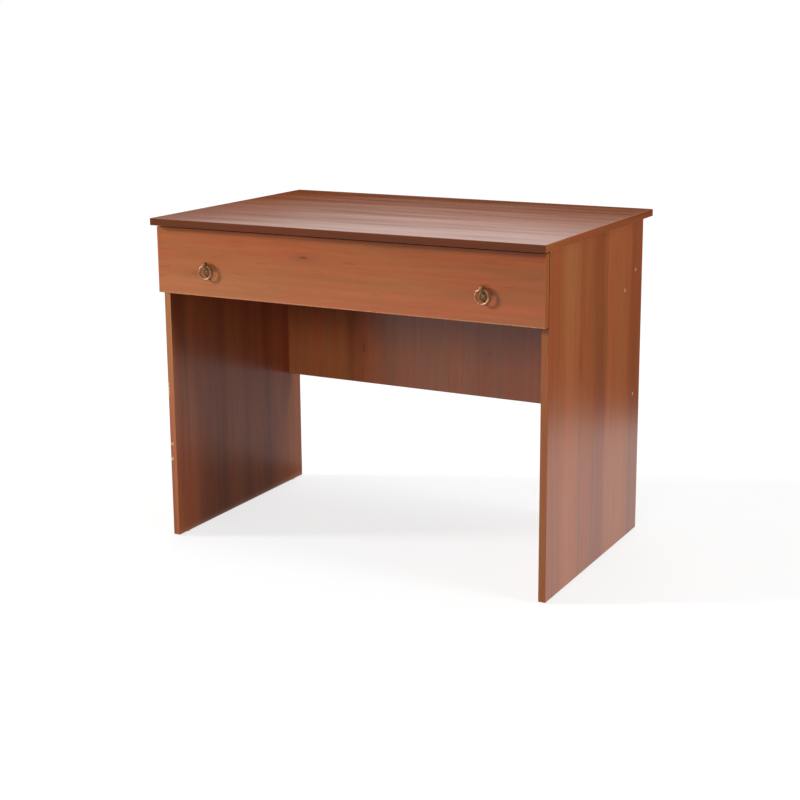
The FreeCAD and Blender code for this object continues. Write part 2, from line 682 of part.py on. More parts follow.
def build_drawer_front():
    depth = (FACE_Y, FRONT_BACK_Y)
    core_x = OUTER_X - EDGE_BAND
    core_z = (FRONT_LOW_Z + EDGE_BAND, FRONT_TOP_Z - EDGE_BAND)
    holes = placed_all(FRONT_PILOT, front_screw_seats()) + placed_all(PULL_PILOT, pull_screw_seats())
    save("drawer_front", [drilled(block((-core_x, core_x), depth, core_z), holes)])
    upper = block((-OUTER_X, OUTER_X), depth, (core_z[1], FRONT_TOP_Z))
    lower = block((-OUTER_X, OUTER_X), depth, (FRONT_LOW_Z, core_z[0]))
    right = rounded(block((core_x, OUTER_X), depth, core_z), Z_AXIS, X_AXIS)
    bands = [rounded(upper, X_AXIS, Z_AXIS), rounded(lower, X_AXIS, -Z_AXIS), right, mirrored(right)]
    save("drawer_front_bands", bands)


def drawer_bottom_groove():
    """Room for the bottom sheet in the sides and the inner front, open at the rear."""
    half = BOX_INNER_X + GROOVE_DEPTH
    front = INNER_FRONT_Y - GROOVE_DEPTH
    return block((-half, half), (front, BOX_REAR_Y + OVERRUN), (GROOVE_LOW_Z, GROOVE_TOP_Z))


def build_drawer_box():
    core_top = BOX_TOP_Z - EDGE_BAND
    length = (FRONT_BACK_Y, BOX_REAR_Y)
    inside = (-BOX_INNER_X, BOX_INNER_X)
    walls = (BOX_INNER_X, BOX_OUTER_X)
    front_y = (FRONT_BACK_Y, INNER_FRONT_Y)
    back_y = (BACK_FRONT_Y, BOX_REAR_Y)
    corner_holes = placed_all(CONFIRMAT_HOLE, box_confirmat_seats())
    side_holes = corner_holes + placed_all(WOOD_PILOT, drawer_runner_screw_seats())
    front_holes = corner_holes + placed_all(FRONT_PILOT, front_screw_seats())
    front_holes += placed_all(PULL_PILOT, pull_screw_seats())
    back_holes = corner_holes + placed_all(NAIL_PILOT, nail_seats())
    groove = drawer_bottom_groove()
    side = drilled(block(walls, length, (BOX_LOW_Z, core_top)), side_holes + [groove])
    inner_front = block(inside, front_y, (BOX_LOW_Z, core_top))
    back = block(inside, back_y, (GROOVE_TOP_Z, core_top))
    save("drawer_right_side", [side])
    save("drawer_left_side", [mirrored(side)])
    save("drawer_inner_front", [drilled(inner_front, front_holes + [groove])])
    save("drawer_back", [drilled(back, back_holes)])
    band_z = (core_top, BOX_TOP_Z)
    side_band = rounded(block(walls, length, band_z), Y_AXIS, Z_AXIS)
    cross_bands = [rounded(block(inside, span, band_z), X_AXIS, Z_AXIS) for span in (front_y, back_y)]
    save("drawer_box_bands", [side_band, mirrored(side_band)] + cross_bands)


def build_drawer_bottom():
    half = BOX_INNER_X + GROOVE_DEPTH - BOTTOM_EDGE_PLAY
    front = INNER_FRONT_Y - GROOVE_DEPTH + BOTTOM_EDGE_PLAY
    sheet = block((-half, half), (front, BOX_REAR_Y), (GROOVE_LOW_Z, GROOVE_LOW_Z + BOTTOM_SHEET))
    save("drawer_bottom", [drilled(sheet, placed_all(NAIL_PILOT, nail_seats()))])


def build_drawer_fasteners():
    save("drawer_box_confirmats", placed_all(CONFIRMAT, box_confirmat_seats()))
    save("drawer_front_screws", placed_all(FRONT_SCREW, front_screw_seats()))
    save("drawer_bottom_nails", placed_all(NAIL, nail_seats()))
    save("pull_screws", placed_all(PULL_SCREW, pull_screw_seats()))


# Ring pulls, made along +Z from the drawer's face with +Y up, then turned to the sitter


def pull_dome():
    """Round base with a domed middle."""
    wall = BASE_EDGE * HEAD_WALL_SHARE
    shoulder = BASE_RADIUS - BASE_EDGE + wall
    disc = turned([(0, 0), (BASE_RADIUS, 0), (BASE_RADIUS, wall), (shoulder, BASE_EDGE), (0, BASE_EDGE)])
    foot = BASE_RADIUS * BASE_DOME_SHARE
    rise = BASE_CROWN - BASE_EDGE
    curve = (foot**2 + rise**2) / (2 * rise)
    ball = Part.makeSphere(curve, FreeCAD.Vector(0, 0, BASE_CROWN - curve))
    return disc.fuse(ball.common(Part.makeCylinder(foot, BASE_CROWN)))


def pull_base():
    """Domed base and the neck that rises from it to a knob with the ring's eye, cast in one, bored for a screw."""
    eye = FreeCAD.Vector(0, RING_RADIUS, PULL_STANDOFF)
    foot = FreeCAD.Vector(0, BASE_RADIUS * NECK_FOOT_SHARE, BASE_CROWN / 2)
    neck = Part.makeCylinder(NECK_RADIUS, (eye - foot).Length, foot, eye - foot)
    knob = eye + Y_AXIS * EYE_LIFT
    slab = Part.makeCylinder(EYE_RADIUS + OVERRUN, EYE_WIDTH, knob - X_AXIS * (EYE_WIDTH / 2), X_AXIS)
    ball = Part.makeSphere(EYE_RADIUS, knob).common(slab)
    eye_hole = Part.makeCylinder(RING_WIRE / 2 + EYE_PLAY, 2 * EYE_RADIUS, eye - X_AXIS * EYE_RADIUS, X_AXIS)
    screw_hole = Part.makeCylinder(PULL_SCREW_RADIUS + HOLE_FIT, PULL_SCREW_GRIP + HOLE_FIT)
    casting = pull_dome().fuse([neck, ball]).removeSplitter()
    return casting.cut([eye_hole, screw_hole]).Solids[0]


def build_pulls():
    ring_middle = FreeCAD.Vector(PULL_X, RING_Y, PULL_Z)
    pieces = {
        "pull_base": placed(pull_base(), (PULL_X, FACE_Y, PULL_Z), -Y_AXIS),
        "pull_ring": Part.makeTorus(RING_RADIUS, RING_WIRE / 2, ring_middle, Y_AXIS),
    }
    for name, piece in pieces.items():
        save(f"right_{name}", [piece])
        save(f"left_{name}", [mirrored(piece)])


os.makedirs("parts", exist_ok=True)
build_top()
build_sides()
build_modesty_panel()
build_stretcher()
build_brackets()
build_carcass_fasteners()
build_glides()
build_slides()
build_drawer_front()
build_drawer_box()
build_drawer_bottom()
build_drawer_fasteners()
build_pulls()
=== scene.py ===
import math

import bpy
from mathutils import Matrix, Vector

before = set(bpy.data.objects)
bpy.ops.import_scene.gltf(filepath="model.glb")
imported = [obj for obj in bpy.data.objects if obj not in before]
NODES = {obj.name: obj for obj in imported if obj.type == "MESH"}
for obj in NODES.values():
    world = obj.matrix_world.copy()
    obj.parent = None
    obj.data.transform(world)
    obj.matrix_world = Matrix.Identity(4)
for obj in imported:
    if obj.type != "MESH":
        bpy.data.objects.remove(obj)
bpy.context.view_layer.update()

# Writing desk with one drawer: finishes, camera and studio.
# Metres, in the part's own frame: +Z up, +X to the sitter's right, the drawer faces -Y.

# Camera, at the photograph's viewing angle: lens and optical axis in pixels of the picture, turns in degrees
IMAGE_SIDE = 800
SENSOR_WIDTH = 36.0
FOCAL_PIXELS = 1525.7
OPTICAL_ROW = 350
CAMERA_PLACE = (1.617, -3.013, 1.186)
CAMERA_YAW = 28.44
CAMERA_PITCH = 12.38
CAMERA_ROLL = 0.42

# Distant lamps: direction to the lamp, the level that it gives a facing white surface, where 1 is white,
# and its width in degrees
LAMPS = {
    "key": ((-0.84, -0.43, 0.33), 1.05, 10.0),
    "front_fill": ((0.08, -0.97, 0.30), 0.26, 14.0),
    "right_fill": ((0.95, 0.00, 0.30), 0.58, 16.0),
    "overhead": ((0.00, 0.15, 1.00), 0.36, 60.0),
    "rear_fill": ((-0.25, 0.90, 0.35), 0.25, 40.0),
}
MIRRORED_LAMP = "key"

# World light: its level at the horizon and how fast it falls upwards
HORIZON_LEVEL = 0.64
FALL_POWER = 2.5

# Floor: its tone for scattered light, and its tone and glow where it is seen
FLOOR_REACH = 60.0
FLOOR_TONE = 0.15
FLOOR_SHOWN_TONE = 0.28
FLOOR_SHOWN_GLOW = 0.75

# Cards round the desk that only reflections show: a near one graded by height, a far one and two on the
# floor, which are painted shade: a dark one under the desk and a paler one behind it, in place of the
# shadowed floor. The near card's grading is (height, level); the tilt shifts it along Y, and the lifts, (X,
# lift), along X.
CARD_SIDES = 64
NEAR_CARD_RADIUS = 1.05
NEAR_CARD_MIDDLE = (0.0, 0.0)
NEAR_CARD_LOW = 0.70
NEAR_CARD_HIGH = 1.15
NEAR_CARD_TILT = -0.05
NEAR_CARD_LIFTS = (
    (-0.95, 0.0010), (-0.84, 0.0080), (-0.72, 0.0160), (-0.50, 0.0165), (-0.25, 0.0095), (0.05, 0.0020),
)
NEAR_CARD_LEVELS = (
    (0.80, 0.0), (0.82, 0.11), (0.84, 0.17), (0.86, 0.29), (0.88, 0.48), (0.90, 0.70), (0.92, 0.85),
    (0.945, 0.85), (1.00, 0.58),
)
FAR_CARD_RADIUS = 2.9
FAR_CARD_MIDDLE = (-1.0, -1.1)
FAR_CARD_HIGH = 1.12
FAR_CARD_LEVEL = 0.06
FLOOR_CARD_HALF = 0.44
FLOOR_CARD_ENDS = (-0.34, 0.34, 1.40)
FLOOR_CARD_LEVELS = (0.20, 0.58)
FLOOR_CARD_LIFT = 0.001

# Sockets of a Mix node that mixes colours
MIX_INPUTS = (0, 6, 7)
MIX_OUTPUT = 2


def srgb(red, green, blue):
    """Linear colour of an 8-bit sRGB value, by the standard's own curve."""
    linear = []
    for level in (red, green, blue):
        share = level / 255
        linear.append(share / 12.92 if share <= 0.04045 else ((share + 0.055) / 1.055) ** 2.4)
    return (*linear, 1.0)


def grey(level):
    return (level, level, level, 1.0)


WHITE = grey(1.0)


class Graph:
    """A node tree built by short calls that return sockets."""

    def __init__(self, tree):
        self.tree = tree
        tree.nodes.clear()

    def feed(self, socket, value):
        if isinstance(value, bpy.types.NodeSocket):
            self.tree.links.new(value, socket)
        else:
            socket.default_value = value

    def node(self, kind, settings=None, **inputs):
        made = self.tree.nodes.new("ShaderNode" + kind)
        for key, value in (settings or {}).items():
            setattr(made, key, value)
        for key, value in inputs.items():
            self.feed(made.inputs[key.replace("_", " ")], value)
        return made

    def math(self, operation, *values):
        made = self.node("Math", {"operation": operation})
        for socket, value in zip(made.inputs, values):
            self.feed(socket, value)
        return made.outputs[0]

    def add(self, *values):
        total = values[0]
        for value in values[1:]:
            total = self.math("ADD", total, value)
        return total

    def less(self, first, second):
        return self.math("SUBTRACT", first, second)

    def times(self, *values):
        total = values[0]
        for value in values[1:]:
            total = self.math("MULTIPLY", total, value)
        return total

    def fit(self, value, low, high, to_low=0.0, to_high=1.0, smooth=False):
        """Value mapped from one range to another and kept inside it."""
        settings = {"interpolation_type": "SMOOTHSTEP"} if smooth else None
        made = self.node("MapRange", settings, Value=value, From_Min=low, From_Max=high,
                         To_Min=to_low, To_Max=to_high)
        return made.outputs[0]

    def fall(self, value, low, high, smooth=False):
        """One up to the low value, zero from the high one on."""
        return self.fit(value, low, high, 1.0, 0.0, smooth)

    def vector(self, x, y, z):
        return self.node("CombineXYZ", X=x, Y=y, Z=z).outputs[0]

    def parts(self, vector):
        return self.node("SeparateXYZ", Vector=vector).outputs

    def noise(self, vector, scale, detail, roughness):
        made = self.node("TexNoise", Vector=vector, Scale=scale, Detail=detail, Roughness=roughness)
        return made.outputs["Fac"]

    def mix(self, share, first, second, blend="MIX"):
        made = self.node("Mix", {"data_type": "RGBA", "blend_type": blend})
        for index, value in zip(MIX_INPUTS, (share, first, second)):
            self.feed(made.inputs[index], value)
        return made.outputs[MIX_OUTPUT]

    def tinted(self, colour, tint):
        return self.mix(1.0, colour, tint, "MULTIPLY")

    def ramp(self, share, stops, interpolation="LINEAR"):
        """Colour ramp from (position, colour) stops."""
        made = self.node("ValToRGB", Fac=share)
        made.color_ramp.interpolation = interpolation
        elements = made.color_ramp.elements
        while len(elements) < len(stops):
            elements.new(1.0)
        for element, (position, colour) in zip(elements, stops):
            element.position = position
            element.color = colour
        return made.outputs["Color"]

    def curve(self, value, stops):
        """Level that passes smoothly through (value, level) stops."""
        low, high = stops[0][0], stops[-1][0]
        scaled = [((place - low) / (high - low), grey(level)) for place, level in stops]
        return self.ramp(self.fit(value, low, high), scaled, "EASE")

    def object_place(self):
        """Place on the piece, in metres of the part's frame."""
        return self.node("TexCoord").outputs["Object"]

    def object_normal(self):
        return self.node("TexCoord").outputs["Normal"]

    def bump(self, height, depth, strength):
        return self.node("Bump", Height=height, Distance=depth, Strength=strength).outputs["Normal"]

    def surface(self, **inputs):
        shader = self.node("BsdfPrincipled", **inputs)
        self.node("OutputMaterial", Surface=shader.outputs[0])

    def emission(self, strength):
        return self.node("Emission", Color=WHITE, Strength=strength).outputs[0]

    def background(self, strength):
        return self.node("Background", Color=WHITE, Strength=strength).outputs[0]

    def diffuse(self, tone):
        return self.node("BsdfDiffuse", Color=grey(tone)).outputs[0]

    def both_shaders(self, first, second):
        made = self.node("AddShader")
        self.feed(made.inputs[0], first)
        self.feed(made.inputs[1], second)
        return made.outputs[0]

    def mixed_shaders(self, share, first, second):
        made = self.node("MixShader", Fac=share)
        self.feed(made.inputs[1], first)
        self.feed(made.inputs[2], second)
        return made.outputs[0]

    def shown_directly(self):
        """One for rays from the camera and for mirrored or passed-on ones, zero for scattered light."""
        path = self.node("LightPath").outputs
        shown = self.math("MAXIMUM", path["Is Camera Ray"], path["Is Glossy Ray"])
        return self.math("MAXIMUM", shown, path["Is Transmission Ray"])


def material_graph(name):
    material = bpy.data.materials.new(name)
    material.use_nodes = True
    return material, Graph(material.node_tree)


# Walnut decor: broad bands, streaks, fine lines, flecks and pores along the grain, knots, scuffing, a painted
# highlight along one edge, painted shade on some boards, and chipboard on bare edges

WALNUT_STOPS = (
    (0.15, srgb(114, 51, 24)),
    (0.38, srgb(150, 77, 38)),
    (0.55, srgb(171, 93, 50)),
    (0.75, srgb(186, 109, 62)),
    (0.95, srgb(198, 125, 76)),
)

# Noise of the decor: length along the grain, width across it, layer, detail and roughness
SWAY = (0.80, 0.30, 0.0, 2.0, 0.5)
BROAD = (1.80, 0.060, 10.0, 1.0, 0.5)
STREAK = (0.26, 0.0130, 20.0, 3.0, 0.5)
FINE = (0.11, 0.0022, 30.0, 3.0, 0.6)
PORE = (0.018, 0.0007, 40.0, 2.0, 0.5)
HUE = (0.40, 0.035, 50.0, 1.0, 0.5)
GLOSS = (0.30, 0.018, 60.0, 2.0, 0.5)
FLECK = (0.07, 0.0045, 70.0, 2.0, 0.5)
WAVE = (0.50, 0.085, 80.0, 1.0, 0.5)
NOISE_MIDDLE = 0.5
SWAY_REACH = 0.018

# Shares of the noises in the tone, what is added to it, and the share that a board's own bands have
# in its broad noise
BROAD_SHARE = 0.62
STREAK_SHARE = 0.27
FINE_SHARE = 0.08
TONE_OFFSET = 0.02
OWN_BANDS_SHARE = 0.85

# Hue, flecks and pores: the part of their noise's range that shows, how strongly, and colours
HUE_RANGE = (0.35, 0.65)
RED_TINT = (1.05, 0.94, 0.92, 1.0)
TAN_TINT = (0.95, 1.05, 0.98, 1.0)
FLECK_RANGE = (0.60, 0.78)
FLECK_SHARE = 0.45
FLECK_COLOUR = srgb(110, 50, 27)
PORE_RANGE = (0.62, 0.74)
PORE_SHARE = 0.28
PORE_COLOUR = srgb(96, 46, 27)

# Knots: lengths along and across the grain; reach, core and halo are multiples of these
KNOT_LENGTHS = (0.022, 0.0065)
KNOT_REACH = 4.0
KNOT_PUSH = -0.75
KNOT_CORE = 1.1
KNOT_HALO = (0.6, 2.8)
KNOT_HALO_STRENGTH = 0.25
KNOT_COLOUR = srgb(88, 36, 20)

# Gloss and relief
SIDE_ROUGHNESS = 0.24
PANEL_ROUGHNESS = 0.29
TOP_ROUGHNESS = 0.09
ROUGHNESS_SPREAD = 0.03
GLOSS_RANGE = (0.3, 0.7)
LAMINATE_IOR = 1.55
BAND_IOR = 1.42
LAMINATE_RELIEF = 0.000012
FINE_RELIEF_SHARE = 0.5
LAMINATE_BUMP = 0.5
TOP_WAVE_HEIGHT = 0.0018

# Pale marks, for scuffing and for the painted highlight along the drawer front's lower edge: full strength
# over a share of their length, broken up by noise of a given detail and roughness
SCUFF_AND_HIGHLIGHT_CORE = 0.4
SCUFF_AND_HIGHLIGHT_BLUR = 0.001
SCUFF_AND_HIGHLIGHT_SIZE = 0.004
SCUFF_AND_HIGHLIGHT_NOISE = (2.0, 0.5)
SCUFF_AND_HIGHLIGHT_RANGE = (0.40, 0.55)
SCUFF_AND_HIGHLIGHT_COLOUR = srgb(212, 180, 156)

# Chipboard, on faces that don't look along the board's thickness; its noise's detail and roughness
FACING_RANGE = (0.45, 0.55)
CHIP_SIZE = 0.0035
CHIP_NOISE = (3.0, 0.7)
CHIP_RANGE = (0.35, 0.65)
CHIP_DARK = srgb(142, 104, 66)
CHIP_LIGHT = srgb(204, 168, 122)
CHIP_ROUGHNESS = 0.85


class Grain:
    """Places on one board: along its grain, and across it with sway and knots."""

    def __init__(self, g, grain, across, seed, knots):
        place = g.parts(g.object_place())
        self.g = g
        self.seed = seed
        self.along = g.add(*(place[axis] for axis in grain))
        self.over = place[across]
        self.swayed = self.over
        sway = g.less(self.stretched(*SWAY), NOISE_MIDDLE)
        self.swayed = g.add(self.over, g.times(sway, SWAY_REACH * 2))
        self.knots = [self.add_knot(*knot) for knot in knots]

    def stretched(self, length, width, layer, detail, roughness):
        """Noise of a length along the grain and a width across it."""
        g = self.g
        u = g.math("DIVIDE", self.along, length)
        v = g.math("DIVIDE", self.swayed, width)
        return g.noise(g.vector(u, v, self.seed + layer), 1.0, detail, roughness)

    def add_knot(self, knot_along, knot_over, size, strength):
        """Darkness of a knot, which also pushes the grain lines aside."""
        g = self.g
        aside = g.less(self.over, knot_over)
        u = g.math("DIVIDE", g.less(self.along, knot_along), KNOT_LENGTHS[0] * size)
        v = g.math("DIVIDE", aside, KNOT_LENGTHS[1] * size)
        distance = g.math("SQRT", g.add(g.times(u, u), g.times(v, v)))
        near = g.fall(distance, 0.0, KNOT_REACH, True)
        self.swayed = g.add(self.swayed, g.times(aside, near, KNOT_PUSH))
        core = g.fall(distance, 0.0, KNOT_CORE, True)
        halo = g.fit(distance, *KNOT_HALO, KNOT_HALO_STRENGTH, 0.0, True)
        return g.times(g.math("MAXIMUM", core, halo), strength)


def decor_colour(g, lines, fine, pore, bands, drift):
    """Colour of the printed decor, with a drift along the grain that on some boards is painted shade."""
    broad = lines.stretched(*BROAD)
    if bands:
        own = g.times(g.curve(lines.swayed, bands), OWN_BANDS_SHARE)
        broad = g.add(own, g.times(broad, 1 - OWN_BANDS_SHARE))
    streak = lines.stretched(*STREAK)
    lengthwise = g.times(g.less(lines.along, drift[0]), drift[1])
    tone = g.add(g.times(broad, BROAD_SHARE), g.times(streak, STREAK_SHARE), g.times(fine, FINE_SHARE),
                 TONE_OFFSET, lengthwise)
    hue = g.fit(lines.stretched(*HUE), *HUE_RANGE)
    colour = g.tinted(g.ramp(tone, WALNUT_STOPS), g.mix(hue, RED_TINT, TAN_TINT))
    fleck = g.fit(lines.stretched(*FLECK), *FLECK_RANGE, smooth=True)
    colour = g.mix(g.times(fleck, FLECK_SHARE), colour, FLECK_COLOUR)
    colour = g.mix(g.times(pore, PORE_SHARE), colour, PORE_COLOUR)
    for knot in lines.knots:
        colour = g.mix(knot, colour, KNOT_COLOUR)
    return colour


def scuffed_and_highlit(g, lines, colour, middle, half_length, edge, strength):
    """Colour with a pale mark on the low side of an edge, which serves for scuffing and for a painted
    highlight where an edge catches light.
    """
    distance = g.math("ABSOLUTE", g.less(lines.along, middle))
    near = g.fall(distance, half_length * SCUFF_AND_HIGHLIGHT_CORE, half_length)
    outside = g.fall(lines.over, edge - SCUFF_AND_HIGHLIGHT_BLUR, edge + SCUFF_AND_HIGHLIGHT_BLUR)
    broken = g.fit(g.noise(g.object_place(), 1 / SCUFF_AND_HIGHLIGHT_SIZE, *SCUFF_AND_HIGHLIGHT_NOISE), *SCUFF_AND_HIGHLIGHT_RANGE)
    return g.mix(g.times(near, outside, broken, strength), colour, SCUFF_AND_HIGHLIGHT_COLOUR)


def with_chipboard(g, thickness, colour, gloss):
    """Colour and roughness with bare chipboard on the board's edges and in its holes."""
    facing = g.math("ABSOLUTE", g.parts(g.object_normal())[thickness])
    bare = g.fall(facing, *FACING_RANGE)
    chips = g.fit(g.noise(g.object_place(), 1 / CHIP_SIZE, *CHIP_NOISE), *CHIP_RANGE)
    colour = g.mix(bare, colour, g.mix(chips, CHIP_DARK, CHIP_LIGHT))
    return colour, g.math("MAXIMUM", gloss, g.times(bare, CHIP_ROUGHNESS))


def walnut(name, grain, across, seed, tint=(1.0, 1.0, 1.0), bands=None, drift=(0.0, 0.0), knots=(), scuffs_and_highlights=(),
           roughness=SIDE_ROUGHNESS, ior=LAMINATE_IOR, bare_edges=True, wave_height=0.0):
    """Walnut decor with its grain along one axis and its lines set side by side across another."""
    material, g = material_graph(name)
    lines = Grain(g, grain, across, seed, knots)
    fine = lines.stretched(*FINE)
    pore = g.fit(lines.stretched(*PORE), *PORE_RANGE)
    colour = g.tinted(decor_colour(g, lines, fine, pore, bands, drift), (*tint, 1.0))
    for scuff_and_highlight in scuffs_and_highlights:
        colour = scuffed_and_highlit(g, lines, colour, *scuff_and_highlight)
    spread = ROUGHNESS_SPREAD / 2
    gloss = g.fit(lines.stretched(*GLOSS), *GLOSS_RANGE, roughness - spread, roughness + spread, True)
    relief = g.less(g.times(fine, FINE_RELIEF_SHARE), pore)
    if wave_height:
        relief = g.add(relief, g.times(lines.stretched(*WAVE), wave_height / LAMINATE_RELIEF))
    if bare_edges:
        thickness = (set("XYZ") - {grain, across}).pop()
        colour, gloss = with_chipboard(g, thickness, colour, gloss)
    normal = g.bump(relief, LAMINATE_RELIEF, LAMINATE_BUMP)
    g.surface(Base_Color=colour, Roughness=gloss, IOR=ior, Normal=normal)
    return material


def dress(material, nodes):
    for node in nodes:
        slots = NODES[node].data.materials
        slots.clear()
        slots.append(material)


# What single boards show. Bands: place across the grain and tone. Knots: place along the grain and across
# it, size and strength. Pale marks, for scuffing and for a painted edge highlight: middle along the grain,
# half length, edge across the grain and strength.
TOP_BANDS = ((-0.31, 0.48), (-0.16, 0.52), (0.0, 0.64), (0.10, 0.60), (0.20, 0.44), (0.31, 0.36))
MODESTY_BANDS = (
    (-0.46, 0.62), (-0.30, 0.66), (-0.265, 0.36), (-0.22, 0.60), (-0.16, 0.38), (-0.08, 0.46),
    (0.02, 0.54), (0.10, 0.38), (0.25, 0.42), (0.46, 0.53),
)
MODESTY_KNOTS = ((0.377, -0.232, 1.1, 0.55), (0.393, 0.112, 0.6, 0.45))
RIGHT_PANEL_BANDS = (
    (-0.28, 0.46), (-0.22, 0.44), (-0.17, 0.76), (-0.12, 0.62), (-0.10, 0.42), (-0.05, 0.46), (-0.02, 0.32),
    (0.02, 0.23), (0.04, 0.34), (0.055, 0.60), (0.13, 0.60), (0.18, 0.50), (0.205, 0.26), (0.27, 0.36),
)
RIGHT_PANEL_KNOTS = ((0.468, -0.102, 1.1, 0.35), (0.668, 0.096, 0.9, 0.35))
DRAWER_FRONT_BANDS = ((0.58, 0.66), (0.615, 0.68), (0.65, 0.58), (0.69, 0.52), (0.73, 0.46))
DRAWER_FRONT_KNOTS = ((-0.087, 0.685, 0.9, 0.70), (-0.37, 0.630, 0.8, 0.42))
# Painted highlight: a pale line along the drawer front's lower edge, where its rounded arris catches light
DRAWER_FRONT_EDGE_HIGHLIGHT = ((0.0, 1.20, 0.5835, 0.42),)
LEFT_EDGE_SCUFFS = ((0.352, 0.020, -0.4665, 1.0), (0.222, 0.005, -0.462, 1.0), (0.187, 0.006, -0.463, 1.0))

# Boards: material, grain, across, seed, and what differs from plain decor.
# Drift is a place along the grain and the tone's change per metre from it.
BOARDS = {
    "top_panel": ("walnut_top", "X", "Y", 1.0, {
        "bands": TOP_BANDS, "roughness": TOP_ROUGHNESS, "wave_height": TOP_WAVE_HEIGHT}),
    "left_side_panel": ("walnut_left_side", "Z", "Y", 2.0, {
        "tint": (1.14, 1.12, 1.08), "roughness": PANEL_ROUGHNESS}),
    # Painted shade: the right side panel's drift makes it darker towards the bottom and lighter towards the
    # top
    "right_side_panel": ("walnut_right_side", "Z", "Y", 3.0, {
        "bands": RIGHT_PANEL_BANDS, "drift": (0.42, 0.16), "knots": RIGHT_PANEL_KNOTS,
        "roughness": PANEL_ROUGHNESS}),
    # Painted shade: the modesty panel's drift makes it darker towards the top, under the drawer, and lighter
    # towards the bottom
    "modesty_panel": ("walnut_modesty", "Z", "X", 4.0, {
        "tint": (0.86, 0.86, 0.92), "bands": MODESTY_BANDS, "drift": (0.43, -0.80), "knots": MODESTY_KNOTS}),
    "rear_stretcher": ("walnut_stretcher", "X", "Y", 5.0, {}),
    "drawer_front": ("walnut_front", "X", "Z", 6.0, {
        "bands": DRAWER_FRONT_BANDS, "drift": (0.0, -0.24), "knots": DRAWER_FRONT_KNOTS,
        "scuffs_and_highlights": DRAWER_FRONT_EDGE_HIGHLIGHT}),
    "drawer_left_side": ("walnut_box_left", "Y", "Z", 7.0, {}),
    "drawer_right_side": ("walnut_box_right", "Y", "Z", 8.0, {}),
    "drawer_inner_front": ("walnut_inner_front", "X", "Z", 9.0, {}),
    "drawer_back": ("walnut_box_back", "X", "Z", 9.5, {}),
}

# Bands on the boards' edges: material, grain, across, seed, what differs from plain decor, slot and nodes.
# The drawer front's bands have X and Z as their grain, because they run round the board.
BANDS = (
    # Painted shade: the left front edge band's drift makes it darker towards the floor and lighter towards
    # the top
    ("band_left", "Z", "X", 21.0, {
        "tint": (0.98, 1.14, 1.28), "drift": (0.30, 0.80), "scuffs_and_highlights": LEFT_EDGE_SCUFFS},
     "walnut_edge_band", ("left_side_front_band",)),
    ("band_right", "Z", "X", 21.5, {"tint": (0.64, 0.66, 0.58)},
     "walnut_edge_band", ("right_side_front_band",)),
    ("band_rear", "Z", "X", 22.5, {},
     "walnut_edge_band", ("left_side_rear_band", "right_side_rear_band")),
    ("band_cross", "X", "Z", 22.0, {},
     "walnut_edge_band", ("top_rear_band", "modesty_lower_band", "stretcher_front_band", "drawer_box_bands")),
    # Painted highlight: the drawer front's bands are lightened and paled, for light caught by their rounded
    # arrises
    ("band_drawer_front_painted_highlight", "XZ", "Y", 25.0, {"tint": (1.22, 1.30, 1.36)},
     "walnut_edge_band", ("drawer_front_bands",)),
    ("band_end", "Y", "Z", 23.0, {"drift": (-0.30, -0.25)},
     "walnut_edge_band", ("top_left_band", "top_right_band")),
    ("band_dark", "X", "Z", 24.0, {"tint": (0.34, 0.31, 0.34)},
     "dark_edge_band", ("top_front_band",)),
)


def dress_boards():
    for node, (name, grain, across, seed, more) in BOARDS.items():
        dress(walnut(name, grain, across, seed, **more), (node,))
    for name, grain, across, seed, more, slot, nodes in BANDS:
        dress(walnut(name, grain, across, seed, ior=BAND_IOR, bare_edges=False, **more), nodes)


# Mottled finishes, whose colour and gloss vary in soft spots of noise with this detail and roughness

SPOT_NOISE = (4.0, 0.6)
SPOT_RANGE = (0.3, 0.7)
SPOT_GLOSS = 0.06
SPOT_BUMP = 0.6

# Material: dark and light sRGB colour, length of a spot, roughness, metallic and relief; then slot and nodes
FINISHES = {
    "dull_brass": ((102, 71, 40), (150, 112, 71), 0.004, 0.54, 0.60, 0.0001, "antique_brass", (
        "left_pull_base", "right_pull_base")),
    "worn_brass": ((114, 81, 54), (204, 155, 120), 0.004, 0.46, 0.75, 0.0001, "antique_brass", (
        "left_pull_ring", "right_pull_ring")),
    "zinc_steel": ((150, 150, 148), (205, 203, 196), 0.003, 0.35, 1.0, 0.00005, "zinc_steel", (
        "corner_brackets", "bracket_screws", "cabinet_roller_pins", "cabinet_runner_screws",
        "drawer_front_screws", "drawer_bottom_nails", "drawer_roller_pins", "drawer_runner_screws",
        "pull_screws")),
    "bright_zinc": ((214, 180, 150), (236, 206, 178), 0.002, 0.50, 0.20, 0.00005, "zinc_steel", (
        "carcass_confirmats", "drawer_box_confirmats")),
    "runner_enamel": ((214, 208, 196), (228, 223, 212), 0.006, 0.40, 0.0, 0.00005, "runner_enamel", (
        "left_cabinet_runner", "left_drawer_runner", "right_cabinet_runner", "right_drawer_runner")),
    "nylon": ((220, 218, 210), (236, 234, 228), 0.005, 0.45, 0.0, 0.00003, "nylon", (
        "left_cabinet_roller", "left_drawer_roller", "right_cabinet_roller", "right_drawer_roller")),
    "hardboard": ((120, 82, 50), (150, 106, 68), 0.004, 0.70, 0.0, 0.0002, "hardboard", ("drawer_bottom",)),
    "beech": ((190, 150, 110), (212, 174, 134), 0.003, 0.60, 0.0, 0.0001, "beech", ("carcass_dowels",)),
    "glide_plastic": ((214, 211, 203), (230, 228, 221), 0.004, 0.45, 0.0, 0.00005, "glide_plastic", (
        "floor_glides",)),
}


